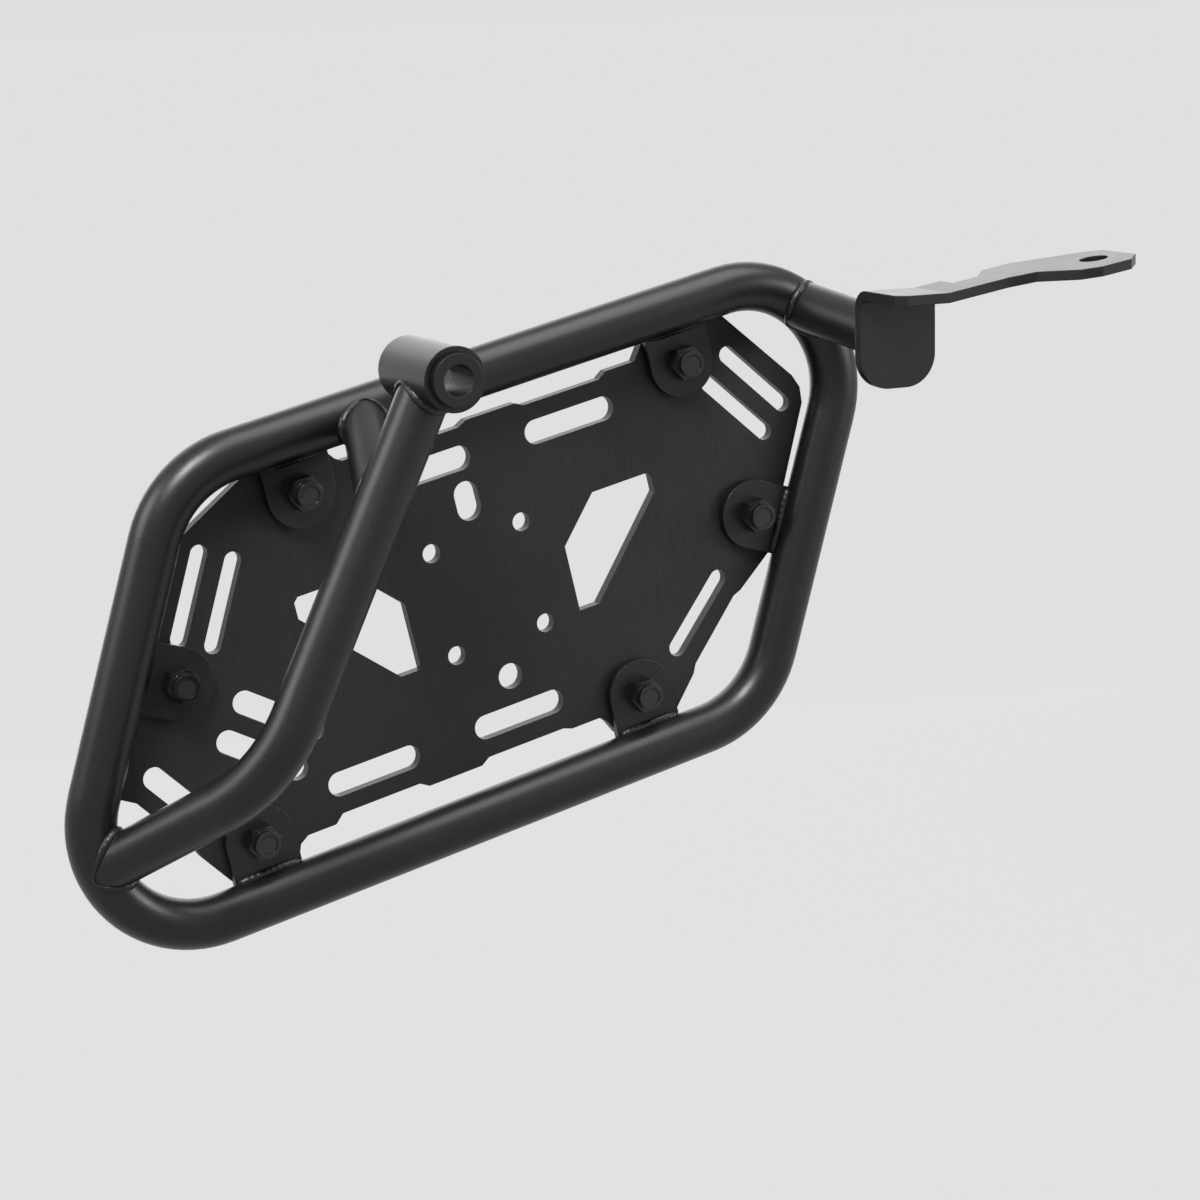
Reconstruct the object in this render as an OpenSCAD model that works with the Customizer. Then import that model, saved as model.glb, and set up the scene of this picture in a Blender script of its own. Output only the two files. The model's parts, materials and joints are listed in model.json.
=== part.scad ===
// Side frame of a motorcycle luggage rack: a bent tube loop with a slotted plate bolted inside it,
// a cranked stay up to a mounting sleeve, and a folded bracket on a short stub.
// Origin: centre of the mounting bush's inner end. +X towards the bracket, +Y outwards, +Z up.

/* [Tube] */
// Outside diameter of the loop, the stay and the stub
tube_d = 21; // [18:0.5:25]
// Outside diameter of the thin strut
strut_d = 18; // [14:0.5:20]
// Wall of every tube
tube_wall = 2; // [1.5:0.1:3]
// Gap left for the weld where one tube or tab is cut to fit round another
weld_gap = 0.15; // [0.1:0.05:0.5]
// Vent drilled in the loop's wall under the stay and under the stub
vent_d = 8; // [6:0.5:10]

/* [Loop] */
// Distance between the centre lines of the long sides
loop_h = 182.5; // [178:0.5:200]
// Distance between the centre lines of the slanted sides, measured along the long sides
loop_l = 333; // [328:1:350]
// Angle of the slanted sides above the long ones
loop_angle = 60.6; // [58:0.2:62]
// Bend radius of the centre line
loop_bend = 45; // [38:1:52]
// Slope of the long sides when the frame is mounted
loop_slope = 13; // [0:0.5:20]
// Depth of the loop's centre line behind the plate's inner face
loop_depth = 6.4; // [5:0.1:8]

/* [Stay] */
// Bend radius of the stay's centre line
stay_bend = 60; // [40:1:75]
// How far the stay's upper leg stands behind the plate's inner face
stay_depth = 69; // [60:1:80]
// Height of the stay's bend below the plate's middle
stay_drop = 21.7; // [10:1:30]
// Distance of the stay's bend from the plate's middle, away from the bracket
stay_back = 134.6; // [125:1:140]

/* [Sleeve] */
// Outside diameter of the sleeve
sleeve_d = 26; // [25:0.5:32]
// Length of the sleeve
sleeve_l = 45; // [36:1:60]
// Bore of the sleeve, which is also the bush's outside diameter
sleeve_bore = 21; // [18:0.5:22]
// Length of the bush
bush_l = 22; // [15:1:30]
// Bore of the bush, for a 12 mm bolt
bush_bore = 12.5; // [8:0.5:14]
// How far the bush stands out of the sleeve
bush_proud = 3.5; // [1:0.5:6]

/* [Plate] */
// Thickness of the plate
plate_t = 5; // [3:0.5:6]
// Length of the wide straight slots
slot_l = 42.5; // [36:0.5:46]
// Width of the wide slots
slot_w = 10.5; // [8:0.5:12]
// Width of the narrow slots
narrow_w = 7.4; // [6:0.2:8.4]
// Diameter of the four small holes round the plate's middle
hole_d = 8; // [5:0.5:9]
// Distance between the small holes along the plate
hole_span_x = 42.5; // [38:0.5:46]
// Distance between the small holes across the plate
hole_span_z = 45.5; // [40:0.5:48]
// Diameter of the single larger hole, and width of the short slot across the middle from it
big_hole_d = 11; // [8:0.5:12]
// Radius of the plate's small corners
plate_corner = 1.5; // [0.5:0.25:2]

/* [Fixings] */
// Thread diameter of the plate screws
screw_d = 8; // [6:1:8]
// Diameter of the countersunk head
head_d = 16; // [14:0.5:17]
// Length of the screws, head included
screw_l = 18; // [17:0.5:22]
// Width across flats of the head's hexagon socket
socket_af = 5; // [4:0.5:6]
// Radial clearance round the screws
screw_gap = 0.3; // [0.2:0.05:0.4]
// Thickness of the welded tabs
tab_t = 4; // [3:0.5:5]
// Width of the tabs
tab_w = 30; // [26:1:32]
// Width across flats of the nuts
nut_af = 13; // [12:0.5:14]
// Height of a nut's hexagon
nut_hex_h = 6; // [5:0.25:7]
// Height of a nut with its collar
nut_h = 9.5; // [8:0.25:10]
// Diameter of a nut's collar
collar_d = 11; // [10:0.25:12]

/* [Bracket] */
// Thickness of the bracket's sheet
sheet_t = 4.2; // [3:0.2:5]
// Width of the bracket's flange
flange_w = 36.5; // [32:0.5:40]
// Height of the bracket's flange
flange_h = 42; // [38:1:48]
// Inside radius of the bracket's fold
fold_r = 4; // [2:0.5:6]
// Rise of the bracket's arm
arm_rise = 9; // [0:0.5:12]
// Diameter of the hole in the bracket's arm
arm_hole_d = 12; // [8:0.5:13]

/* [Hidden] */
$fn = 40;

steel_black = [0.11, 0.11, 0.115];
plate_grey = [0.2, 0.2, 0.205];
screw_grey = [0.42, 0.42, 0.43];

// A cut runs this far past the faces that it opens
past = 1;
// Straight runs lap the bends by this much. This small step stands between surfaces that would only touch.
lap = 0.1;
lap_step = 0.02;
tube_r = tube_d / 2;
bore_d = tube_d - 2 * tube_wall;
// What is cut to fit round a tube is cut to this diameter
cope_d = tube_d + 2 * weld_gap;

// Middle of the plate's inner face, from the origin
plate_at = [54.2, 94.5, -101.4];
// Centre of the sleeve and of its outer end, in the plate's own axes
sleeve_axis = [-30, 111];

// The loop's corners, in the plate's own axes: x along the plate, y outwards, z across it
loop_mid_x = -9;
loop_lean = loop_h / 2 / tan(loop_angle);
loop_points = [
    [loop_mid_x - loop_l / 2 + loop_lean, -loop_depth, loop_h / 2],
    [loop_mid_x + loop_l / 2 + loop_lean, -loop_depth, loop_h / 2],
    [loop_mid_x + loop_l / 2 - loop_lean, -loop_depth, -loop_h / 2],
    [loop_mid_x - loop_l / 2 - loop_lean, -loop_depth, -loop_h / 2]
];

// The two sharp corners of the loop: centre of each bend, and the place this far round it
top_bend = loop_points[1] - loop_bend * [1 / tan(loop_angle / 2), 0, 1];
low_bend = loop_points[3] + loop_bend * [1 / tan(loop_angle / 2), 0, 1];
stub_turn = 40;
stay_turn = 189;

// The stay runs from the loop's lower sharp corner, round one bend, up to the sleeve
stay_foot = low_bend + loop_bend * [cos(stay_turn), 0, sin(stay_turn)];
stay_knee = [-stay_back, -stay_depth, -stay_drop];
stay_head = [sleeve_axis[0], -stay_depth, sleeve_axis[1]];

// The strut runs from the stay's upper leg to the loop's top side
strut_share = 0.67;
strut_foot = stay_knee + strut_share * (stay_head - stay_knee);
strut_head = [-39, -loop_depth, loop_h / 2];

// The stub leaves the loop's upper sharp corner
stub_foot = top_bend + loop_bend * [cos(stub_turn), 0, sin(stub_turn)];

// The bracket: where its flange's outer face, its front edge and its top lie, from the origin
flange_out = 32.5;
flange_front = 195;
tab_top = 20;
arm_hole = [285.5, -8.7];
// The arm starts to rise here
arm_start = flange_front + 24;
stub_head = [flange_front + flange_w / 2, flange_out, tab_top - flange_h / 2];

// Screw places in the plate's own axes, and the way each tab points to the loop
seats = [
    [[108, 66.5], 90],
    [[125.5, -8], -29.4],
    [[54.5, -66.5], -90],
    [[-126.5, -66.5], -90],
    [[-142, 8], 150.6],
    [[-71.5, 66.5], 90]
];

function unit(v) = v / norm(v);

// A place given in the plate's own axes, seen from the origin
function from_plate(p) = plate_at + [
    p[0] * cos(loop_slope) - p[2] * sin(loop_slope),
    p[1],
    p[0] * sin(loop_slope) + p[2] * cos(loop_slope)
];

// Puts what is drawn in the plate's own axes where it belongs
module on_plate() {
    translate(plate_at)
        rotate([0, -loop_slope, 0])
            children();
}

// Turns the drawing so that its x axis lies along a, and its y axis towards b
module turned_to(place, a, b) {
    x = unit(a);
    z = unit(cross(a, b));
    y = cross(z, x);
    multmatrix([
        [x[0], y[0], z[0], place[0]],
        [x[1], y[1], z[1], place[1]],
        [x[2], y[2], z[2], place[2]],
        [0, 0, 0, 1]
    ])
        children();
}

// A straight bar between two points; with a bore it is a tube
module bar(from, to, d, bore = 0) {
    run = to - from;
    turned_to(from, run, abs(unit(run)[2]) > 0.9 ? [1, 0, 0] : [0, 0, 1])
        rotate([0, 90, 0])
            linear_extrude(norm(run))
                section(d, bore);
}

// The straight run next to a bend. Its wall laps the bend's and is a hair thicker,
// so that the two join as one solid.
module straight(from, to, d, bore) {
    bar(from, to, d + 2 * lap_step, bore > 0 ? bore - 2 * lap_step : 0);
}

// The section of a bar or tube
module section(d, bore) {
    difference() {
        circle(d = d);
        if (bore > 0)
            circle(d = bore);
    }
}

// How far a bend of radius r reaches along its legs at corner b
function reach(a, b, c, r) = r * tan((180 - acos(unit(a - b) * unit(c - b))) / 2);

// One bend at corner b between the legs to a and c; with a bore it is a tube
module elbow(a, b, c, r, d, bore = 0) {
    turn = 180 - acos(unit(a - b) * unit(c - b));
    start = b + reach(a, b, c, r) * unit(a - b);
    inward = unit(c - b) - (unit(c - b) * unit(a - b)) * unit(a - b);
    centre = start + r * unit(inward);
    turned_to(centre, start - centre, b - start)
        rotate_extrude(angle = turn)
            translate([r, 0])
                section(d, bore);
}

// The loop, with a bend at each corner; with a bore it is a tube
module loop_bar(d, bore = 0) {
    n = len(loop_points);
    for (i = [0 : n - 1]) {
        a = loop_points[(i + n - 1) % n];
        b = loop_points[i];
        c = loop_points[(i + 1) % n];
        e = loop_points[(i + 2) % n];
        elbow(a, b, c, loop_bend, d, bore);
        straight(
            b + (reach(a, b, c, loop_bend) - lap) * unit(c - b),
            c + (reach(b, c, e, loop_bend) - lap) * unit(b - c),
            d,
            bore
        );
    }
}

// The stay, run on into the pieces at both ends; with a bore it is a tube
module stay_bar(d, bore = 0) {
    bend = reach(stay_foot, stay_knee, stay_head, stay_bend);
    straight(stay_foot, stay_knee + (bend - lap) * unit(stay_foot - stay_knee), d, bore);
    elbow(stay_foot, stay_knee, stay_head, stay_bend, d, bore);
    straight(stay_knee + (bend - lap) * unit(stay_head - stay_knee), stay_head, d, bore);
}

// Room for the sleeve, in the plate's own axes
module sleeve_room() {
    translate([sleeve_axis[0], -stay_depth - sleeve_l / 2, sleeve_axis[1]])
        rotate([-90, 0, 0])
            cylinder(d = sleeve_d + 2 * weld_gap, h = sleeve_l);
}

module ring_tube() {
    color(steel_black)
        on_plate()
            difference() {
                loop_bar(tube_d, bore_d);
                bar(stay_foot, stay_foot + tube_d * unit(stay_knee - stay_foot), vent_d);
                bar(stub_foot, stub_foot + [0, -tube_d, 0], vent_d);
            }
}

module stay_tube() {
    color(steel_black)
        on_plate()
            difference() {
                stay_bar(tube_d, bore_d);
                loop_bar(cope_d);
                sleeve_room();
            }
}

module strut_tube() {
    color(steel_black)
        on_plate()
            difference() {
                bar(strut_foot, strut_head, strut_d, strut_d - 2 * tube_wall);
                loop_bar(cope_d);
                stay_bar(cope_d);
            }
}

// The stub runs on past the flange, and the flange's face cuts it off
module stub_tube() {
    foot = from_plate(stub_foot);
    on = unit(stub_head - foot);
    color(steel_black)
        difference() {
            bar(foot, stub_head + tube_r * on, tube_d, bore_d);
            on_plate()
                loop_bar(cope_d);
            translate([stub_head[0] - tube_d, flange_out - 2 * tube_d + weld_gap, stub_head[2] - tube_d])
                cube(2 * tube_d);
        }
}

// Sleeve and bush share the axis through the origin
module mount_sleeve() {
    color(steel_black)
        translate([0, bush_proud, 0])
            rotate([-90, 0, 0])
                difference() {
                    cylinder(d = sleeve_d, h = sleeve_l);
                    translate([0, 0, -past])
                        cylinder(d = sleeve_bore, h = sleeve_l + 2 * past);
                }
}

module mount_bush() {
    color(steel_black)
        rotate([-90, 0, 0])
            difference() {
                cylinder(d = sleeve_bore, h = bush_l);
                translate([0, 0, -past])
                    cylinder(d = bush_bore, h = bush_l + 2 * past);
            }
}

// Outline of the bracket's top, seen from above
module bracket_plan() {
    rear = flange_front + flange_w;
    inner = flange_out - sheet_t - 31;
    polygon([
        [flange_front, flange_out],
        [flange_front, inner + 4],
        [flange_front + 4, inner],
        [rear + 16, inner],
        [rear + 28, inner - 3],
        [rear + 38, inner - 20],
        [rear + 46, inner - 24.5],
        [rear + 60, inner - 24.5],
        [rear + 67, inner - 17.5],
        [rear + 67, inner + 6],
        [rear + 61, inner + 12],
        [rear + 33, inner + 27.5],
        [rear + 21, inner + 27.5],
        [rear + 12, inner + 17],
        [rear, inner + 17],
        [rear, flange_out]
    ]);
}

// The flange seen from the side, with its two rounded lower corners
module flange_face() {
    r = 14;
    low = tab_top - flange_h;
    translate([flange_front + r, low + r])
        circle(r = r);
    translate([flange_front + flange_w - r, low + r])
        circle(r = r);
    translate([flange_front + r, low])
        square([flange_w - 2 * r, flange_h]);
    translate([flange_front, low + r])
        square([flange_w, flange_h - r]);
}

// The sheet's top as a flat run and a rising arm, seen from the side
module arm_side() {
    long = 90;
    far = arm_start + long;
    polygon([
        [flange_front - past, tab_top],
        [arm_start, tab_top],
        [far, tab_top + long * tan(arm_rise)],
        [far, tab_top + long * tan(arm_rise) - sheet_t],
        [arm_start, tab_top - sheet_t],
        [flange_front - past, tab_top - sheet_t]
    ]);
}

module bracket() {
    outer_r = fold_r + sheet_t;
    color(steel_black)
        difference() {
            union() {
                // Top, cut to its plan, up to the fold
                intersection() {
                    translate([0, 0, tab_top - 2 * flange_h])
                        linear_extrude(4 * flange_h)
                            bracket_plan();
                    translate([0, flange_out - outer_r, 0])
                        rotate([90, 0, 0])
                            linear_extrude(80)
                                arm_side();
                }
                // Flange, up to the fold
                intersection() {
                    translate([0, flange_out, 0])
                        rotate([90, 0, 0])
                            linear_extrude(sheet_t)
                                flange_face();
                    translate([flange_front - past, 0, tab_top - 2 * flange_h])
                        cube([flange_w + 2 * past, 2 * flange_out, 2 * flange_h - outer_r]);
                }
                // The fold between them
                translate([flange_front, flange_out - outer_r, tab_top - outer_r])
                    rotate([90, 0, 90])
                        linear_extrude(flange_w)
                            intersection() {
                                difference() {
                                    circle(r = outer_r);
                                    circle(r = fold_r);
                                }
                                square(outer_r);
                            }
            }
            translate([arm_hole[0], arm_hole[1], tab_top + (arm_hole[0] - arm_start) * tan(arm_rise)])
                rotate([0, -arm_rise, 0])
                    cylinder(d = arm_hole_d, h = 4 * sheet_t, center = true);
        }
}

// A slot with round ends between two points
module slot(from, to, w) {
    run = to - from;
    translate(from)
        circle(d = w);
    translate(to)
        circle(d = w);
    translate(from)
        rotate(atan2(run[1], run[0]))
            translate([0, lap_step - w / 2])
                square([norm(run), w - 2 * lap_step]);
}

// A slot given by its middle, its direction and its whole length
module slot_at(middle, angle, l, w) {
    half = (l - w) / 2 * [cos(angle), sin(angle)];
    slot(middle - half, middle + half, w);
}

// The five-sided window, on the side of the bracket
module window() {
    polygon([[38, 6], [56, 24.5], [82.5, 24.5], [84.5, 22.5], [84.5, 15.5], [47.5, -23], [38, -23]]);
}

// The plate's outline. The steps leave room for straps between the tabs.
module plate_outline() {
    pad = 81;
    step = 72.5;
    low_step = 70;
    polygon([
        [-129.5, 61.5], [-90, pad], [-58, pad], [-53, step + 2], [-50, step], [-40, step], [-36, low_step],
        [3, low_step], [7, step - 0.5], [30, step - 0.5], [34, low_step], [70, low_step], [74, step],
        [88, step], [93, pad - 2], [97, pad], [131.5, pad],
        [160, 44], [162.5, 38], [162, 31],
        [131, -27.5],
        [113.5, -39.5], [109.5, -41], [84.5, -64], [82.5, -68], [70, -pad],
        [41, -pad], [38, -75], [35, -step + 1], [21, -step + 1], [17, -low_step], [-19, -low_step],
        [-23, -step], [-48, -step], [-52, -low_step], [-88, -low_step], [-92, -step - 1], [-105, -step - 1],
        [-109, -76], [-111, -pad],
        [-141, -pad],
        [-151, -66], [-153, -61.5], [-171, -34.5], [-179, -29.5]
    ]);
}

module plate() {
    color(plate_grey)
        on_plate()
            difference() {
                translate([0, plate_t, 0])
                    rotate([90, 0, 0])
                        linear_extrude(plate_t)
                            difference() {
                                plate_outline();
                                plate_cuts();
                            }
                for (seat = seats)
                    translate([seat[0][0], 0, seat[0][1]])
                        rotate([-90, 0, 0])
                            seat_cut();
            }
}

// A countersunk screw hole through the plate
module seat_cut() {
    d = screw_d + 2 * screw_gap;
    cone_d = head_d + 2 * screw_gap;
    translate([0, 0, -past])
        cylinder(d = d, h = plate_t + 2 * past);
    translate([0, 0, plate_t - (cone_d - d) / 2])
        cylinder(d1 = d, d2 = cone_d, h = (cone_d - d) / 2);
    translate([0, 0, plate_t])
        cylinder(d = cone_d, h = past);
}

// Every slot, window and hole that goes straight through the plate
module plate_cuts() {
    slot_at([-16, 57.5], 0, slot_l, slot_w);
    slot_at([52.5, 57.5], 0, slot_l, slot_w);
    slot_at([-70, -57.5], 0, slot_l, slot_w);
    slot_at([-1, -57], 0, slot_l, slot_w);
    for (side = [[141.8, 48], [130.5, 38.5]])
        slot_at(side, -53.5, slot_l, narrow_w);
    for (side = [[-127.5, 40], [-114.5, 32.7]])
        slot_at(side, loop_angle, slot_l, narrow_w);
    slot_at([90.8, -42.6], 41.5, slot_l, narrow_w + 0.6);
    for (side = [[-104, -20.5], [-115, -34]])
        slot_at(side, -39.5, slot_l + 0.5, slot_w - 0.5);
    slot_at([-152, -41], -56, slot_l + 0.5, slot_w - 1);
    // Short slot above the middle, and the larger hole below it
    slot_at([-0.8, 39], 90, 17, big_hole_d);
    translate([-0.8, -39.5])
        circle(d = big_hole_d);
    for (x = [-1, 1])
        for (z = [-1, 1])
            translate([-0.8 + x * hole_span_x / 2, z * hole_span_z / 2])
                circle(d = hole_d);
    // The two windows mirror each other
    translate([-0.8, 0]) {
        window();
        mirror([1, 0])
            window();
    }
}

// One tab: round end about the screw, and a straight end against the loop
module tab(seat) {
    color(steel_black)
        on_plate()
            difference() {
                translate([seat[0][0], 0, seat[0][1]])
                    rotate([90, 0, 0])
                        linear_extrude(tab_t)
                            difference() {
                                union() {
                                    circle(d = tab_w);
                                    rotate(seat[1])
                                        translate([0, lap_step - tab_w / 2])
                                            square([2 * tab_w / 3 + tube_r, tab_w - 2 * lap_step]);
                                }
                                circle(d = screw_d + 2 * screw_gap);
                            }
                loop_bar(cope_d);
                past_loop(seat);
            }
}

// What lies beyond the loop's centre line, seen from a screw
module past_loop(seat) {
    slanted = abs(abs(seat[1]) - 90) > 1;
    gap = slanted
        ? abs(seat[0][0] - loop_mid_x - seat[0][1] / tan(loop_angle) - sign(cos(seat[1])) * loop_l / 2)
            * sin(loop_angle)
        : loop_h / 2 - abs(seat[0][1]);
    translate([seat[0][0], past, seat[0][1]])
        rotate([90, 0, 0])
            rotate(seat[1])
                translate([gap - 3, -tab_w])
                    cube([2 * tab_w, 2 * tab_w, tab_t + 2 * past]);
}

// A countersunk screw, head at the plate's outer face
module screw(seat) {
    cone_h = (head_d - screw_d) / 2;
    color(screw_grey)
        on_plate()
            translate([seat[0][0], plate_t, seat[0][1]])
                rotate([90, 0, 0])
                    difference() {
                        union() {
                            cylinder(d1 = head_d, d2 = screw_d, h = cone_h);
                            cylinder(d = screw_d, h = screw_l);
                        }
                        translate([0, 0, -past])
                            cylinder(d = socket_af / cos(30), h = 3 + past, $fn = 6);
                    }
}

// A lock nut: hexagon and round collar, threaded on the screw
module nut(seat) {
    color(steel_black)
        on_plate()
            translate([seat[0][0], -tab_t, seat[0][1]])
                rotate([90, 0, 0])
                    difference() {
                        union() {
                            cylinder(d = nut_af / cos(30), h = nut_hex_h, $fn = 6);
                            cylinder(d = collar_d, h = nut_h);
                        }
                        translate([0, 0, -past])
                            cylinder(d = screw_d, h = nut_h + 2 * past);
                    }
}

ring_tube();
stay_tube();
strut_tube();
stub_tube();
mount_sleeve();
mount_bush();
bracket();
plate();
for (i = [0 : len(seats) - 1]) {
    tab(seats[i]);
    screw(seats[i]);
    nut(seats[i]);
}
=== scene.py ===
"""Finishes, weld beads and studio for the luggage frame.

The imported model's axes: +X towards the bracket, +Y outwards, +Z up. The weld beads are worked out in
millimetres and become metres in grid_mesh.
"""

import json
import math

import bpy
import numpy as np
from mathutils import Matrix, Vector


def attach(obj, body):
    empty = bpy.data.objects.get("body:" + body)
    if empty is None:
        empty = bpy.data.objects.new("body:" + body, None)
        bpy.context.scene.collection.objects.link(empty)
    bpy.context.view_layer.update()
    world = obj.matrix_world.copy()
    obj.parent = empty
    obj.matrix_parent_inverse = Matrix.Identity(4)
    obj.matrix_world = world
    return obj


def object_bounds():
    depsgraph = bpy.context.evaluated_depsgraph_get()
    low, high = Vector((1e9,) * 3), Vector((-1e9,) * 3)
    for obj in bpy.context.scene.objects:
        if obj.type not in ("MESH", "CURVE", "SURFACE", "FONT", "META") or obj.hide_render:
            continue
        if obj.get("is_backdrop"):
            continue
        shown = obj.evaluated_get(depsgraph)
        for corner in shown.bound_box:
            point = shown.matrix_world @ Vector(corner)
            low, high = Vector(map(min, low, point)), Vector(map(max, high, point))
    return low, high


bl_info = {
    "name": "Luggage Frame",
    "version": (1, 0, 0),
    "blender": (4, 5, 0),
    "location": "View3D > Sidebar > Luggage Frame",
    "description": "Finishes, weld beads and studio for a motorcycle luggage frame",
    "category": "Object",
}

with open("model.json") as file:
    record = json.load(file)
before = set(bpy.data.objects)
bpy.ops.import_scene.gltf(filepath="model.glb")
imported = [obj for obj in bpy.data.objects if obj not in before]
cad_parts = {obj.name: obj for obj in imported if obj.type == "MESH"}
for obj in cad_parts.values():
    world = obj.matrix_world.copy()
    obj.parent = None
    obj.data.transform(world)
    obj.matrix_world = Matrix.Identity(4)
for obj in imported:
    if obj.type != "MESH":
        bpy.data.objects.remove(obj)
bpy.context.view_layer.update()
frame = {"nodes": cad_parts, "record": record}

MM = 0.001

# The tubes, the gap left for a weld, and the tabs
TUBE_R = 10.5
STRUT_R = 9.0
SLEEVE_R = 13.0
WELD_GAP = 0.15
TAB_T = 4.0
TAB_W = 30.0

# The loop, and the middle of the plate's inner face
LOOP_H = 182.5
LOOP_L = 333.0
LOOP_ANGLE = math.radians(60.6)
LOOP_BEND = 45.0
LOOP_DEPTH = 6.4
LOOP_MID = -9.0
SLOPE = math.radians(13.0)
PLATE_AT = np.array([54.2, 94.5, -101.4])

# The stay's bend and its end on the sleeve's axis, the strut's ends, and where the stay and the stub
# leave the loop's bends, in degrees round them
STAY_BACK = 134.6
STAY_DEPTH = 69.0
STAY_DROP = 21.7
SLEEVE_AXIS = (-30.0, 111.0)
STRUT_SHARE = 0.67
STRUT_HEAD_X = -39.0
STAY_TURN = 189.0
STUB_TURN = 40.0

# The bracket's flange: front edge, outer face, width, height and top
FLANGE_FRONT = 195.0
FLANGE_OUT = 32.5
FLANGE_W = 36.5
FLANGE_H = 42.0
BRACKET_TOP = 20.0

# Screw places in the plate's own axes, and the way each tab points to the loop, in degrees
SEATS = (
    (108.0, 66.5, 90.0),
    (125.5, -8.0, -29.4),
    (54.5, -66.5, -90.0),
    (-126.5, -66.5, -90.0),
    (-142.0, 8.0, 150.6),
    (-71.5, 66.5, 90.0),
)

# A tube's weld is looked for this far along it, by this many halvings. The mate's normal is taken over
# a small step, and the corner's share of the bead stays within limits. The angle round a tube is
# counted from a direction that lies along none of them.
WELD_REACH = 40.0
HALVINGS = 40
NORMAL_STEP = 0.01
CORNER_LEAST = 0.1
CORNER_MOST = 1.2
ASIDE = (0.31, 0.22, 0.92)

# A tab's weld: how much shorter than the tab it is, its rows, how late it narrows, and how near to a
# point it comes
TAB_WELD_SHORTER = 1.5
TAB_WELD_ROWS = 90
END_POWER = 6
END_SPAN = 0.995

# Noise of every coat: the broad one's scale, each one's detail and roughness, the grain's share of the
# mix, and the part of the mix that is spread from 0 to 1
BROAD_SCALE = 16.0
BROAD_NOISE = {"Detail": 4.0, "Roughness": 0.6}
GRAIN_NOISE = {"Detail": 3.0, "Roughness": 0.55}
GRAIN_SHARE = 0.55
SPREAD_FROM = (0.32, 0.68)

# Depth of the grain's relief in metres, and samples of the Bevel node
BUMP_DEPTH = 0.0002
EDGE_SAMPLES = 4

# Each material slot's finish: the material's name, the grain's scale, stretch and turn about Y, least
# and most roughness, strength of the bump, radius of the edges in metres, and gloss
FINISHES = {
    "frame": {
        "label": "Satin Black",
        "grain": (1100.0, (1.0, 1.0, 1.0), 0.0),
        "rough": (0.31, 0.40),
        "bump": 0.12,
        "edge": 0.0006,
        "gloss": 0.35,
    },
    "plate": {
        "label": "Grained Black Plate",
        "grain": (1500.0, (1.0, 1.0, 0.06), SLOPE),
        "rough": (0.36, 0.50),
        "bump": 0.10,
        "edge": 0.0004,
        "gloss": 0.27,
    },
    "screw": {
        "label": "Screw Steel",
        "grain": (1800.0, (1.0, 1.0, 1.0), 0.0),
        "rough": (0.28, 0.40),
        "bump": 0.05,
        "edge": 0.0003,
        "gloss": 0.36,
    },
    "nut": {
        "label": "Nut Steel",
        "grain": (1800.0, (1.0, 1.0, 1.0), 0.0),
        "rough": (0.18, 0.30),
        "bump": 0.05,
        "edge": 0.0003,
        "gloss": 0.5,
    },
}

# Each lamp's place and size in metres, and its share of the key light's power
LAMPS = {
    "Key": ((-0.8, -0.9, 1.6), 0.6, 1.0),
    "Top": ((0.5, -0.3, 1.7), 1.3, 0.45),
    "Rim": ((-1.7, 0.3, 0.8), 1.0, 0.35),
    "Side": ((1.6, -0.9, 0.4), 0.7, 0.35),
    "Back": ((0.5, 1.7, 0.2), 2.0, 0.35),
}

# The floor's half side in metres and its diffuse grey, and the world's light on surfaces
FLOOR_HALF = 30.0
FLOOR_GREY = 0.012
WORLD_FILL = 0.35

# The camera's place in the picture in millimetres, the way that its upper edge points, and the rounds
# in which it is aimed
CAMERA_AT = np.array([-524.56, -1170.86, 162.37])
CAMERA_UP = np.array([0.1213, 0.1994, 0.9724])
SENSOR_MM = 36.0
AIM_ROUNDS = 4

# Places of the Mix node's sockets when it mixes colours, because several of them share a name
MIX_FACTOR, MIX_A, MIX_B, MIX_RESULT = 0, 6, 7, 2

# Spacing of nodes in a tree's drawing
NODE_ACROSS = 220
NODE_DOWN = 180


def unit(v):
    """v over its length, along the last axis."""
    v = np.asarray(v, float)
    return v / np.linalg.norm(v, axis=-1, keepdims=True)


def turned(v):
    """A direction in the plate's own axes, in the model's: turned about Y by the slope.

    x becomes x cos s less z sin s, z becomes x sin s plus z cos s, and y stays.
    """
    x, y, z = np.moveaxis(np.asarray(v, float), -1, 0)
    c, s = math.cos(SLOPE), math.sin(SLOPE)
    return np.stack([x * c - z * s, y, x * s + z * c], -1)


def placed(v):
    """A place in the plate's own axes, in the model's: turned, then moved to the plate's middle."""
    return PLATE_AT + turned(v)


def loop_corner_x(side, z_sign):
    """x of the loop's corner: its middle, half its length to the side, and the slanted side's lean."""
    return LOOP_MID + side * LOOP_L / 2 + z_sign * LOOP_H / 2 / math.tan(LOOP_ANGLE)


BEND_REACH = LOOP_BEND / math.tan(LOOP_ANGLE / 2)
TOP_BEND = placed([loop_corner_x(1, 1) - BEND_REACH, -LOOP_DEPTH, LOOP_H / 2 - LOOP_BEND])
LOW_BEND = placed([loop_corner_x(-1, -1) + BEND_REACH, -LOOP_DEPTH, LOOP_BEND - LOOP_H / 2])


def on_bend(centre, degrees):
    """A place on a bend's centre line: the bend's radius from its centre, at that angle."""
    a = math.radians(degrees)
    return centre + LOOP_BEND * turned([math.cos(a), 0, math.sin(a)])


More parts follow.
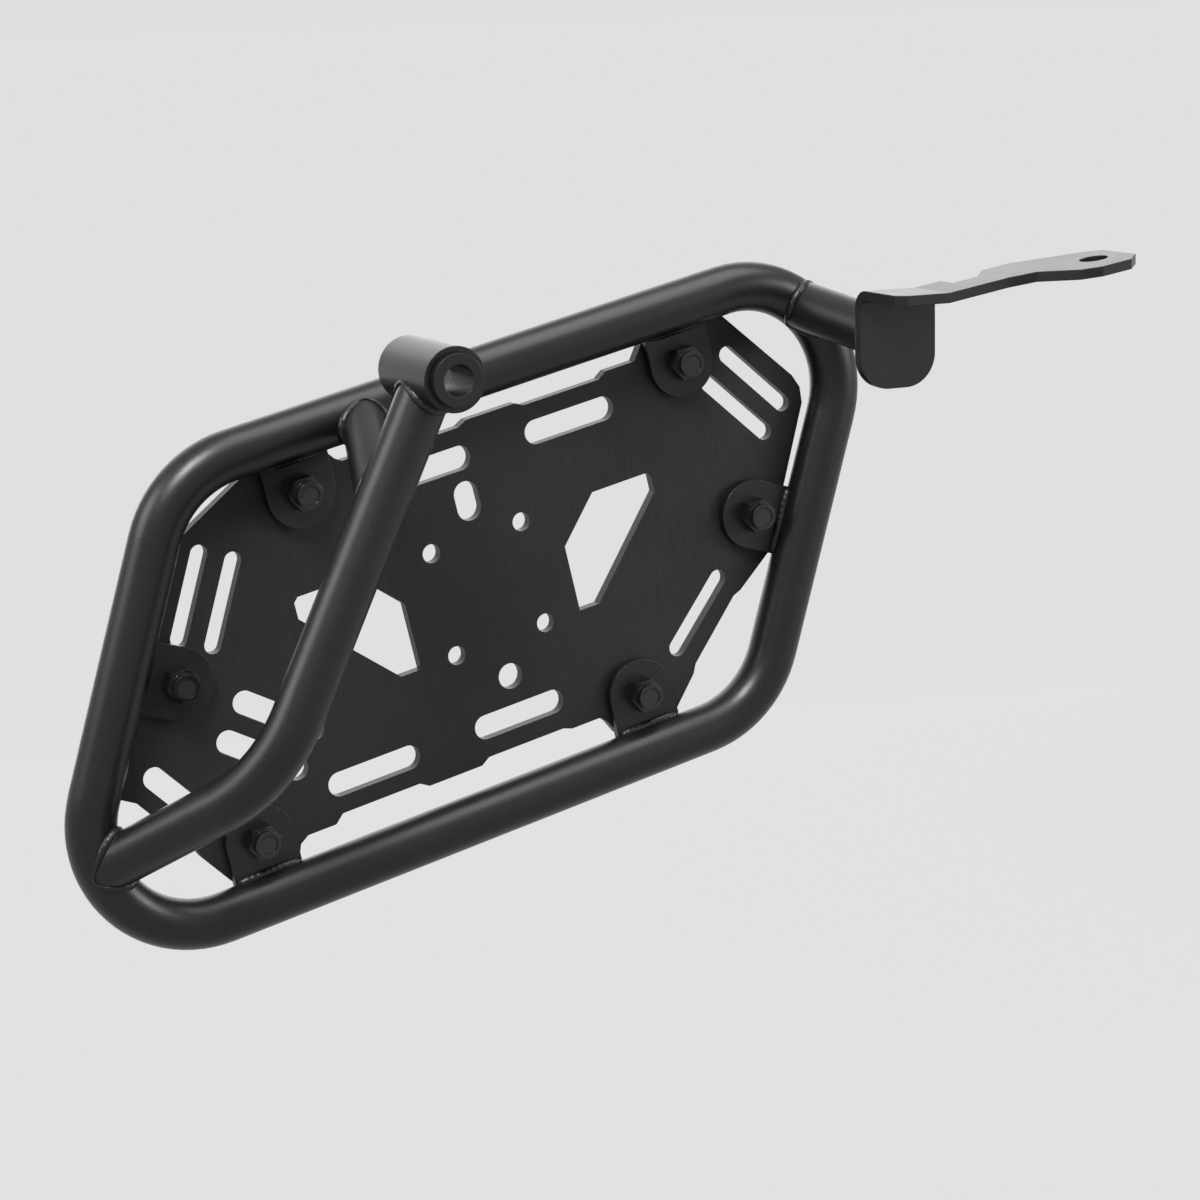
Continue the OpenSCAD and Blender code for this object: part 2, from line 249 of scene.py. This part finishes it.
STAY_FOOT = on_bend(LOW_BEND, STAY_TURN)
STAY_KNEE = placed([-STAY_BACK, -STAY_DEPTH, -STAY_DROP])
STAY_HEAD = placed([SLEEVE_AXIS[0], -STAY_DEPTH, SLEEVE_AXIS[1]])
STRUT_FOOT = STAY_KNEE + STRUT_SHARE * (STAY_HEAD - STAY_KNEE)
STRUT_HEAD = placed([STRUT_HEAD_X, -LOOP_DEPTH, LOOP_H / 2])
STUB_FOOT = on_bend(TOP_BEND, STUB_TURN)
STUB_HEAD = np.array([FLANGE_FRONT + FLANGE_W / 2, FLANGE_OUT, BRACKET_TOP - FLANGE_H / 2])


def outside_bar(point, along, radius):
    """How far places lie outside an endless round bar: their distance from its axis, less its radius."""
    axis = unit(along)

    def depth(p):
        q = p - point
        return np.linalg.norm(q - (q @ axis)[:, None] * axis, axis=1) - radius

    return depth


def outside_bend(centre, radius):
    """How far places lie outside a bend of the loop: their distance from its centre circle, less its radius.

    The square of that distance is the height's square plus the square of what the flat distance from
    the bend's centre has over the bend radius.
    """
    up = np.array([0.0, 1.0, 0.0])

    def depth(p):
        q = p - centre
        height = q @ up
        flat = np.linalg.norm(q - height[:, None] * up, axis=1)
        return np.hypot(flat - LOOP_BEND, height) - radius

    return depth


def outside_flange(p):
    """How far places lie outside the flange's outer face, past the gap for the weld."""
    return p[:, 1] - FLANGE_OUT - WELD_GAP


def grid_mesh(name, points, wraps, caps=False):
    """Mesh of a rows x columns grid of points, in metres, with its faces outward.

    The columns always close, wraps closes the rows too, and caps fills both ends. Faces are turned
    round where the volume that they enclose comes out negative.
    """
    rows, cols = points.shape[:2]
    i, j = np.meshgrid(np.arange(rows if wraps else rows - 1), np.arange(cols), indexing="ij")
    i2, j2 = (i + 1) % rows, (j + 1) % cols
    quads = np.stack([i * cols + j, i2 * cols + j, i2 * cols + j2, i * cols + j2], -1).reshape(-1, 4)
    flat = points.reshape(-1, 3)
    a, b, c, d = (flat[quads[:, k]] for k in range(4))
    volume = np.einsum("ij,ij->", a, np.cross(b, c)) + np.einsum("ij,ij->", a, np.cross(c, d))
    if volume < 0:
        quads = quads[:, ::-1]
    faces = quads.tolist()
    if caps:
        ends = [list(range(cols)), list(range((rows - 1) * cols, rows * cols))]
        ends[0 if volume < 0 else 1].reverse()
        faces += ends
    mesh = bpy.data.meshes.new(name)
    mesh.from_pydata((flat * MM).tolist(), [], faces)
    mesh.polygons.foreach_set("use_smooth", np.ones(len(faces), bool))
    mesh.update()
    return mesh


def add_weld(context, name, mesh):
    """Links a bead's mesh as a piece in the frame's finish, which rides on the frame."""
    piece = bpy.data.objects.new(name, mesh)
    context.scene.collection.objects.link(piece)
    mesh.materials.append(bpy.data.materials[FINISHES["frame"]["label"]])
    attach(piece, "root")


def bead_round_tube(foot, along, radius, depth, welds):
    """Points of the weld bead where a tube leaves its mate.

    Each straight line on the tube's surface is halved until it ends on the mate, where depth is 0, and
    those places are the bead's path. The bead's share is the root of 1 less the cosine between the
    tube's normal and the mate's, so it fills a sharp corner and thins out where both surfaces run flush.
    """
    u = unit(along)
    e1 = unit(np.cross(u, ASIDE))
    e2 = np.cross(u, e1)
    t = np.linspace(0, 2 * math.pi, welds.bead_steps, endpoint=False)
    radial = np.cos(t)[:, None] * e1 + np.sin(t)[:, None] * e2
    base = foot + radius * radial
    low, high = np.zeros(len(t)), np.full(len(t), WELD_REACH)
    for _ in range(HALVINGS):
        mid = (low + high) / 2
        within = depth(base + mid[:, None] * u) < 0
        low, high = np.where(within, mid, low), np.where(within, high, mid)
    path = base + high[:, None] * u
    steps = NORMAL_STEP * np.eye(3)
    mate = unit(np.stack([depth(path + step) - depth(path - step) for step in steps], -1))
    corner = np.clip(1 - np.sum(radial * mate, 1), CORNER_LEAST, CORNER_MOST)
    return swept_bead(path, radial, welds, True, np.sqrt(corner))


def swept_bead(path, normals, welds, closed, share=1.0):
    """Points of a rippled bead: a circle carried along the path, square to it.

    The circle's radius is the bead's radius times the share, and more by the ripple times the size of a
    sine that has one half wave to each pitch. An open bead narrows to both ends by the root of 1 less a
    high power of the place along it, which runs from -1 to 1.
    """
    steps = np.roll(path, -1, 0) - np.roll(path, 1, 0)
    if not closed:
        steps = np.gradient(path, axis=0)
    tangent = unit(steps)
    n = unit(normals - np.sum(normals * tangent, 1, keepdims=True) * tangent)
    b = np.cross(tangent, n)
    length = np.concatenate([[0], np.cumsum(np.linalg.norm(np.diff(path, axis=0), axis=1))])
    if closed:
        whole = length[-1] + np.linalg.norm(path[0] - path[-1])
        pitch = whole / max(1, round(whole * MM / welds.bead_pitch))
    else:
        pitch = welds.bead_pitch / MM
    ripple = 1 + welds.bead_ripple * np.abs(np.sin(math.pi * length / pitch))
    width = share * welds.bead_radius / MM * ripple
    if not closed:
        width = width * np.sqrt(1 - np.abs(np.linspace(-END_SPAN, END_SPAN, len(path))) ** END_POWER)
    f = np.linspace(0, 2 * math.pi, welds.bead_sides, endpoint=False)
    ring = np.cos(f)[None, :, None] * n[:, None] + np.sin(f)[None, :, None] * b[:, None]
    return path[:, None] + width[:, None, None] * ring


def plug(tree, target, value):
    """Gives a node's input a value, or links it where the value is a socket."""
    if isinstance(value, bpy.types.NodeSocket):
        tree.links.new(value, target)
    else:
        target.default_value = value


def add_node(tree, kind, column, row, values=None):
    """A node at that column and row of the tree's drawing, with the named inputs set or linked."""
    node = tree.nodes.new(kind)
    node.location = (column * NODE_ACROSS, -row * NODE_DOWN)
    for name, value in (values or {}).items():
        plug(tree, node.inputs[name], value)
    return node


def add_math(tree, operation, column, row, *values):
    """The result of a Math node whose inputs are set or linked in order."""
    node = add_node(tree, "ShaderNodeMath", column, row)
    node.operation = operation
    for target, value in zip(node.inputs, values):
        plug(tree, target, value)
    return node.outputs[0]


def coat_group():
    """Shared node group that turns noise on the object's own axes into a coat.

    Broad noise and fine grain are added by their shares and spread from 0 to 1. That mask runs between
    the two colours and between the two roughnesses. The height is the grain alone. An uneven stretch
    draws the grain out along an axis, as rolling does.
    """
    group = bpy.data.node_groups.new("Coat", "ShaderNodeTree")
    for name, kind in (
        ("Grain Scale", "NodeSocketFloat"),
        ("Grain Stretch", "NodeSocketVector"),
        ("Grain Turn", "NodeSocketVector"),
        ("Dark", "NodeSocketColor"),
        ("Light", "NodeSocketColor"),
        ("Least Roughness", "NodeSocketFloat"),
        ("Most Roughness", "NodeSocketFloat"),
    ):
        group.interface.new_socket(name=name, in_out="INPUT", socket_type=kind)
    for name, kind in (
        ("Color", "NodeSocketColor"),
        ("Roughness", "NodeSocketFloat"),
        ("Height", "NodeSocketFloat"),
    ):
        group.interface.new_socket(name=name, in_out="OUTPUT", socket_type=kind)

    given = add_node(group, "NodeGroupInput", 0, 2).outputs
    axes = add_node(group, "ShaderNodeTexCoord", 0, 0).outputs["Object"]
    drawn = {"Vector": axes, "Scale": given["Grain Stretch"], "Rotation": given["Grain Turn"]}
    grain_axes = add_node(group, "ShaderNodeMapping", 1, 1, drawn).outputs["Vector"]
    fine = {"Vector": grain_axes, "Scale": given["Grain Scale"], **GRAIN_NOISE}
    grain = add_node(group, "ShaderNodeTexNoise", 2, 1, fine).outputs[0]
    wide = {"Vector": axes, "Scale": BROAD_SCALE, **BROAD_NOISE}
    broad = add_node(group, "ShaderNodeTexNoise", 2, 0, wide).outputs[0]

    broad_part = add_math(group, "MULTIPLY", 3, 0, broad, 1 - GRAIN_SHARE)
    mixed = add_math(group, "MULTIPLY_ADD", 4, 0, grain, GRAIN_SHARE, broad_part)
    spread = {"Value": mixed, "From Min": SPREAD_FROM[0], "From Max": SPREAD_FROM[1]}
    mask = add_node(group, "ShaderNodeMapRange", 5, 0, spread).outputs[0]
    rougher = {"Value": mask, "To Min": given["Least Roughness"], "To Max": given["Most Roughness"]}
    roughness = add_node(group, "ShaderNodeMapRange", 6, 1, rougher).outputs[0]
    colour = add_node(group, "ShaderNodeMix", 6, 0)
    colour.data_type = "RGBA"
    plug(group, colour.inputs[MIX_FACTOR], mask)
    plug(group, colour.inputs[MIX_A], given["Dark"])
    plug(group, colour.inputs[MIX_B], given["Light"])
    results = {"Color": colour.outputs[MIX_RESULT], "Roughness": roughness, "Height": grain}
    add_node(group, "NodeGroupOutput", 7, 0, results)
    return group


def finish_material(group, finish, dark, light):
    """Principled surface fed by the coat group, with edges rounded for light by the Bevel node."""
    material = bpy.data.materials.new(finish["label"])
    material.use_nodes = True
    tree = material.node_tree
    shader = tree.nodes["Principled BSDF"]
    coat = add_node(tree, "ShaderNodeGroup", -3, -1)
    coat.node_tree = group
    grain_scale, grain_stretch, grain_turn = finish["grain"]
    values = {
        "Grain Scale": grain_scale,
        "Grain Stretch": grain_stretch,
        "Grain Turn": (0.0, grain_turn, 0.0),
        "Dark": (*dark, 1.0),
        "Light": (*light, 1.0),
        "Least Roughness": finish["rough"][0],
        "Most Roughness": finish["rough"][1],
    }
    for name, value in values.items():
        plug(tree, coat.inputs[name], value)
    edge = add_node(tree, "ShaderNodeBevel", -2, 1, {"Radius": finish["edge"]})
    edge.samples = EDGE_SAMPLES
    relief = {
        "Strength": finish["bump"],
        "Distance": BUMP_DEPTH,
        "Height": coat.outputs["Height"],
        "Normal": edge.outputs["Normal"],
    }
    bump = add_node(tree, "ShaderNodeBump", -1, 1, relief)
    plug(tree, shader.inputs["Specular IOR Level"], finish["gloss"])
    plug(tree, shader.inputs["Base Color"], coat.outputs["Color"])
    plug(tree, shader.inputs["Roughness"], coat.outputs["Roughness"])
    plug(tree, shader.inputs["Normal"], bump.outputs["Normal"])
    return material


def colour_property(name, description, default):
    """A colour, in linear light, for the sidebar."""
    return bpy.props.FloatVectorProperty(
        name=name, description=description, default=default, size=3, min=0.0, max=1.0, subtype="COLOR"
    )


class LuggageFrameColours(bpy.types.PropertyGroup):
    """Darkest and lightest colour of each finish."""

    frame_dark: colour_property("Frame Dark", "Darkest colour of the tubes' coat", (0.003, 0.003, 0.0032))
    frame_light: colour_property("Frame Light", "Lightest colour of the tubes' coat", (0.006, 0.006, 0.0063))
    plate_dark: colour_property("Plate Dark", "Darkest colour of the plate", (0.007, 0.007, 0.0073))
    plate_light: colour_property("Plate Light", "Lightest colour of the plate", (0.013, 0.013, 0.0135))
    screw_dark: colour_property("Screw Dark", "Darkest colour of the screws", (0.010, 0.010, 0.0104))
    screw_light: colour_property("Screw Light", "Lightest colour of the screws", (0.018, 0.018, 0.0186))
    nut_dark: colour_property("Nut Dark", "Darkest colour of the nuts", (0.003, 0.003, 0.0032))
    nut_light: colour_property("Nut Light", "Lightest colour of the nuts", (0.006, 0.006, 0.0063))


class LuggageFrameWelds(bpy.types.PropertyGroup):
    """Sizes of the weld beads."""

    bead_radius: bpy.props.FloatProperty(
        name="Bead Radius",
        description="Radius of a bead in a square corner",
        default=0.0022,
        min=0.0005,
        max=0.004,
        unit="LENGTH",
    )
    bead_pitch: bpy.props.FloatProperty(
        name="Bead Pitch",
        description="Distance between a bead's ripples",
        default=0.0028,
        min=0.0005,
        max=0.01,
        unit="LENGTH",
    )
    bead_ripple: bpy.props.FloatProperty(
        name="Bead Ripple",
        description="Height of the ripples over the bead's radius",
        default=0.06,
        min=0.0,
        max=0.5,
        subtype="FACTOR",
    )
    bead_steps: bpy.props.IntProperty(
        name="Bead Steps", description="Rows along a bead round a tube", default=320, min=24, max=800
    )
    bead_sides: bpy.props.IntProperty(
        name="Bead Sides", description="Columns round a bead", default=16, min=6, max=48
    )


class LuggageFrameStudio(bpy.types.PropertyGroup):
    """The picture's backdrop, light and margin."""

    background: bpy.props.FloatProperty(
        name="Background",
        description="Grey of the backdrop, in linear light",
        default=0.737,
        min=0.0,
        max=1.0,
        subtype="FACTOR",
    )
    key_power: bpy.props.FloatProperty(
        name="Key Power",
        description="Power of the key light",
        default=60.0,
        min=0.0,
        max=500.0,
        unit="POWER",
    )
    floor_gap: bpy.props.FloatProperty(
        name="Floor Gap",
        description="Height of the object over the floor",
        default=0.35,
        min=0.0,
        max=2.0,
        unit="LENGTH",
    )
    margin: bpy.props.FloatProperty(
        name="Margin", description="Picture width over the object's width", default=1.12, min=1.0, max=2.0
    )


class LUGGAGE_FRAME_OT_finishes(bpy.types.Operator):
    """Gives every part of the frame its finish."""

    bl_idname = "luggage_frame.finishes"
    bl_label = "Finishes"

    def execute(self, context):
        colours = context.scene.luggage_frame_colours
        group = coat_group()
        materials = {}
        for slot, finish in FINISHES.items():
            dark, light = getattr(colours, f"{slot}_dark"), getattr(colours, f"{slot}_light")
            materials[slot] = finish_material(group, finish, dark, light)
        slots = {part["node"]: part["material_slot"] for part in frame["record"]["subparts"]}
        for name, node in frame["nodes"].items():
            if name not in slots:
                raise ValueError(f"{name} has no material slot")
            node.data.materials.clear()
            node.data.materials.append(materials[slots[name]])
        return {"FINISHED"}


class LUGGAGE_FRAME_OT_tube_welds(bpy.types.Operator):
    """Adds the weld beads round the tubes' ends."""

    bl_idname = "luggage_frame.tube_welds"
    bl_label = "Tube Welds"

    def execute(self, context):
        leg = STAY_HEAD - STAY_KNEE
        strut = STRUT_HEAD - STRUT_FOOT
        stub = STUB_HEAD - STUB_FOOT
        low_bend = outside_bend(LOW_BEND, TUBE_R + WELD_GAP)
        top_bend = outside_bend(TOP_BEND, TUBE_R + WELD_GAP)
        top_side = outside_bar(STRUT_HEAD, turned([1.0, 0.0, 0.0]), TUBE_R)
        sleeve = outside_bar(np.zeros(3), [0.0, 1.0, 0.0], SLEEVE_R)
        stay = outside_bar(STAY_HEAD, leg, TUBE_R)
        joints = {
            "weld_stay_loop": (STAY_FOOT, STAY_KNEE - STAY_FOOT, TUBE_R, low_bend),
            "weld_stay_sleeve": (STAY_HEAD, -leg, TUBE_R, sleeve),
            "weld_strut_stay": (STRUT_FOOT, strut, STRUT_R, stay),
            "weld_strut_loop": (STRUT_HEAD, -strut, STRUT_R, top_side),
            "weld_stub_loop": (STUB_FOOT, stub, TUBE_R, top_bend),
            "weld_stub_flange": (STUB_HEAD + TUBE_R * unit(stub), -stub, TUBE_R, outside_flange),
        }
        for name, joint in joints.items():
            points = bead_round_tube(*joint, context.scene.luggage_frame_welds)
            if not np.isfinite(points).all():
                raise ValueError(f"{name} has no path")
            add_weld(context, name, grid_mesh(name, points, True))
        return {"FINISHED"}


def tab_reach(x, z, degrees):
    """Distance from a screw to the centre line of the loop's side that its tab points to.

    To a long side it is half the loop's height less the screw's own. To a slanted side it is what half
    the loop's length has over the screw's place along it, times the sine of the loop's angle.
    """
    towards_long_side = abs(abs(degrees) - 90) < 1
    if towards_long_side:
        return LOOP_H / 2 - abs(z)
    side = math.copysign(1, math.cos(math.radians(degrees)))
    along = (x - LOOP_MID - z / math.tan(LOOP_ANGLE)) * side
    return (LOOP_L / 2 - along) * math.sin(LOOP_ANGLE)


class LUGGAGE_FRAME_OT_tab_welds(bpy.types.Operator):
    """Adds the weld bead where each tab meets the loop, on its inner face."""

    bl_idname = "luggage_frame.tab_welds"
    bl_label = "Tab Welds"

    def execute(self, context):
        inward = turned([0, -1, 0])
        half_chord = math.sqrt(TUBE_R**2 - (LOOP_DEPTH - TAB_T) ** 2)
        along = np.linspace(-0.5, 0.5, TAB_WELD_ROWS)[:, None] * (TAB_W - TAB_WELD_SHORTER)
        for number, (x, z, degrees) in enumerate(SEATS, 1):
            a = math.radians(degrees)
            out = np.array([math.cos(a), 0, math.sin(a)])
            side = np.array([-math.sin(a), 0, math.cos(a)])
            middle = np.array([x, -TAB_T, z]) + (tab_reach(x, z, degrees) - half_chord) * out
            path = placed(middle + along * side)
            normals = np.broadcast_to(inward, path.shape)
            points = swept_bead(path, normals, context.scene.luggage_frame_welds, False)
            name = f"weld_tab_{number}"
            add_weld(context, name, grid_mesh(name, points, False, True))
        return {"FINISHED"}


def floor_mesh(height):
    """One square of floor at that height."""
    half = FLOOR_HALF
    mesh = bpy.data.meshes.new("Floor")
    corners = [(-half, -half, height), (half, -half, height), (half, half, height), (-half, half, height)]
    mesh.from_pydata(corners, [], [(0, 1, 2, 3)])
    return mesh


def seen_or_mirrored(tree):
    """1 for rays from the camera and from gloss, else 0."""
    rays = add_node(tree, "ShaderNodeLightPath", -4, 0).outputs
    return add_math(tree, "MAXIMUM", -3, 0, rays["Is Camera Ray"], rays["Is Glossy Ray"])


def floor_material(grey):
    """Pale floor: its grey is seen as it is, and a thin diffuse part adds light and shadow."""
    material = bpy.data.materials.new("Floor")
    material.use_nodes = True
    tree = material.node_tree
    values = {
        "Base Color": (FLOOR_GREY, FLOOR_GREY, FLOOR_GREY, 1),
        "Roughness": 1.0,
        "Specular IOR Level": 0.0,
        "Emission Color": (1, 1, 1, 1),
        "Emission Strength": add_math(tree, "MULTIPLY", -2, 0, seen_or_mirrored(tree), grey),
    }
    for name, value in values.items():
        plug(tree, tree.nodes["Principled BSDF"].inputs[name], value)
    return material


def studio_world(grey):
    """World that is seen and mirrored as the backdrop's grey, and lights surfaces with its own share."""
    world = bpy.data.worlds.new("Studio")
    world.use_nodes = True
    tree = world.node_tree
    values = {"Value": seen_or_mirrored(tree), "To Min": WORLD_FILL, "To Max": grey}
    strength = add_node(tree, "ShaderNodeMapRange", -2, 0, values).outputs[0]
    plug(tree, tree.nodes["Background"].inputs["Strength"], strength)
    plug(tree, tree.nodes["Background"].inputs["Color"], (1, 1, 1, 1))
    return world


def area_light(context, name, at, target, size, watts):
    """A square soft light at a place, pointed at a target."""
    data = bpy.data.lights.new(name, "AREA")
    data.size = size
    data.energy = watts
    light = bpy.data.objects.new(name, data)
    light.location = at
    light.rotation_euler = (Vector(target) - Vector(at)).to_track_quat("-Z", "Y").to_euler()
    context.scene.collection.objects.link(light)


def mesh_corners(nodes):
    """Every corner of these nodes' meshes, one row each, in metres."""
    parts = []
    for node in nodes:
        corners = np.empty(3 * len(node.data.vertices), np.float32)
        node.data.vertices.foreach_get("co", corners)
        parts.append(corners.reshape(-1, 3).astype(float))
    return np.concatenate(parts)


def aimed_camera(corners, margin):
    """Camera at the picture's place, aimed so that the corners lie in the picture's middle.

    A corner's place in the picture is how far it lies across and upward, over how far it lies ahead.
    Each round turns the view by the middle of their least and greatest, and the lens takes in the
    larger of their spans times the margin.
    """
    ray = corners / MM - CAMERA_AT
    look = unit(ray.mean(0))
    for _ in range(AIM_ROUNDS):
        right = unit(np.cross(look, CAMERA_UP))
        up = np.cross(right, look)
        across, upward = ray @ right / (ray @ look), ray @ up / (ray @ look)
        aim = np.array([np.min(across) + np.max(across), np.min(upward) + np.max(upward)]) / 2
        look = unit(look + aim[0] * right + aim[1] * up)
    data = bpy.data.cameras.new("Camera")
    data.sensor_width = SENSOR_MM
    data.lens = SENSOR_MM / (max(np.ptp(across), np.ptp(upward)) * margin)
    camera = bpy.data.objects.new("Camera", data)
    axes = np.column_stack([right, up, -look])
    camera.matrix_world = Matrix.Translation(Vector(CAMERA_AT * MM)) @ Matrix(axes.tolist()).to_4x4()
    return camera


class LUGGAGE_FRAME_OT_studio(bpy.types.Operator):
    """Sets up the floor, the lights, the world and the camera."""

    bl_idname = "luggage_frame.studio"
    bl_label = "Studio"

    def execute(self, context):
        scene = context.scene
        studio = scene.luggage_frame_studio
        low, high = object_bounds()
        floor = bpy.data.objects.new("Floor", floor_mesh(low.z - studio.floor_gap))
        scene.collection.objects.link(floor)
        floor.data.materials.append(floor_material(studio.background))
        floor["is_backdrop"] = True
        for name, (at, size, share) in LAMPS.items():
            area_light(context, name, at, (low + high) / 2, size, studio.key_power * share)
        scene.world = studio_world(studio.background)
        scene.view_settings.view_transform = "Standard"
        scene.camera = aimed_camera(mesh_corners(frame["nodes"].values()), studio.margin)
        scene.collection.objects.link(scene.camera)
        return {"FINISHED"}


class LUGGAGE_FRAME_PT_sidebar(bpy.types.Panel):
    """Sidebar panel with the frame's settings and steps."""

    bl_label = "Luggage Frame"
    bl_idname = "LUGGAGE_FRAME_PT_sidebar"
    bl_space_type = "VIEW_3D"
    bl_region_type = "UI"
    bl_category = "Luggage Frame"

    def draw(self, context):
        column = self.layout.column()
        for name, settings in SETTINGS.items():
            for field in settings.__annotations__:
                column.prop(getattr(context.scene, name), field)
        for step in STEPS:
            column.operator(step.bl_idname)


SETTINGS = {
    "luggage_frame_colours": LuggageFrameColours,
    "luggage_frame_welds": LuggageFrameWelds,
    "luggage_frame_studio": LuggageFrameStudio,
}
STEPS = (
    LUGGAGE_FRAME_OT_finishes,
    LUGGAGE_FRAME_OT_tube_welds,
    LUGGAGE_FRAME_OT_tab_welds,
    LUGGAGE_FRAME_OT_studio,
)
CLASSES = (*SETTINGS.values(), *STEPS, LUGGAGE_FRAME_PT_sidebar)


def register():
    """Registers the classes, and gives every scene their settings."""
    for cls in CLASSES:
        bpy.utils.register_class(cls)
    for name, settings in SETTINGS.items():
        setattr(bpy.types.Scene, name, bpy.props.PointerProperty(type=settings))


def unregister():
    """Takes back what register did, in reverse."""
    for name in reversed(SETTINGS):
        delattr(bpy.types.Scene, name)
    for cls in reversed(CLASSES):
        bpy.utils.unregister_class(cls)


def main():
    """Runs every step in order."""
    register()
    bpy.ops.luggage_frame.finishes()
    bpy.ops.luggage_frame.tube_welds()
    bpy.ops.luggage_frame.tab_welds()
    bpy.ops.luggage_frame.studio()


if __name__ == "__main__":
    main()
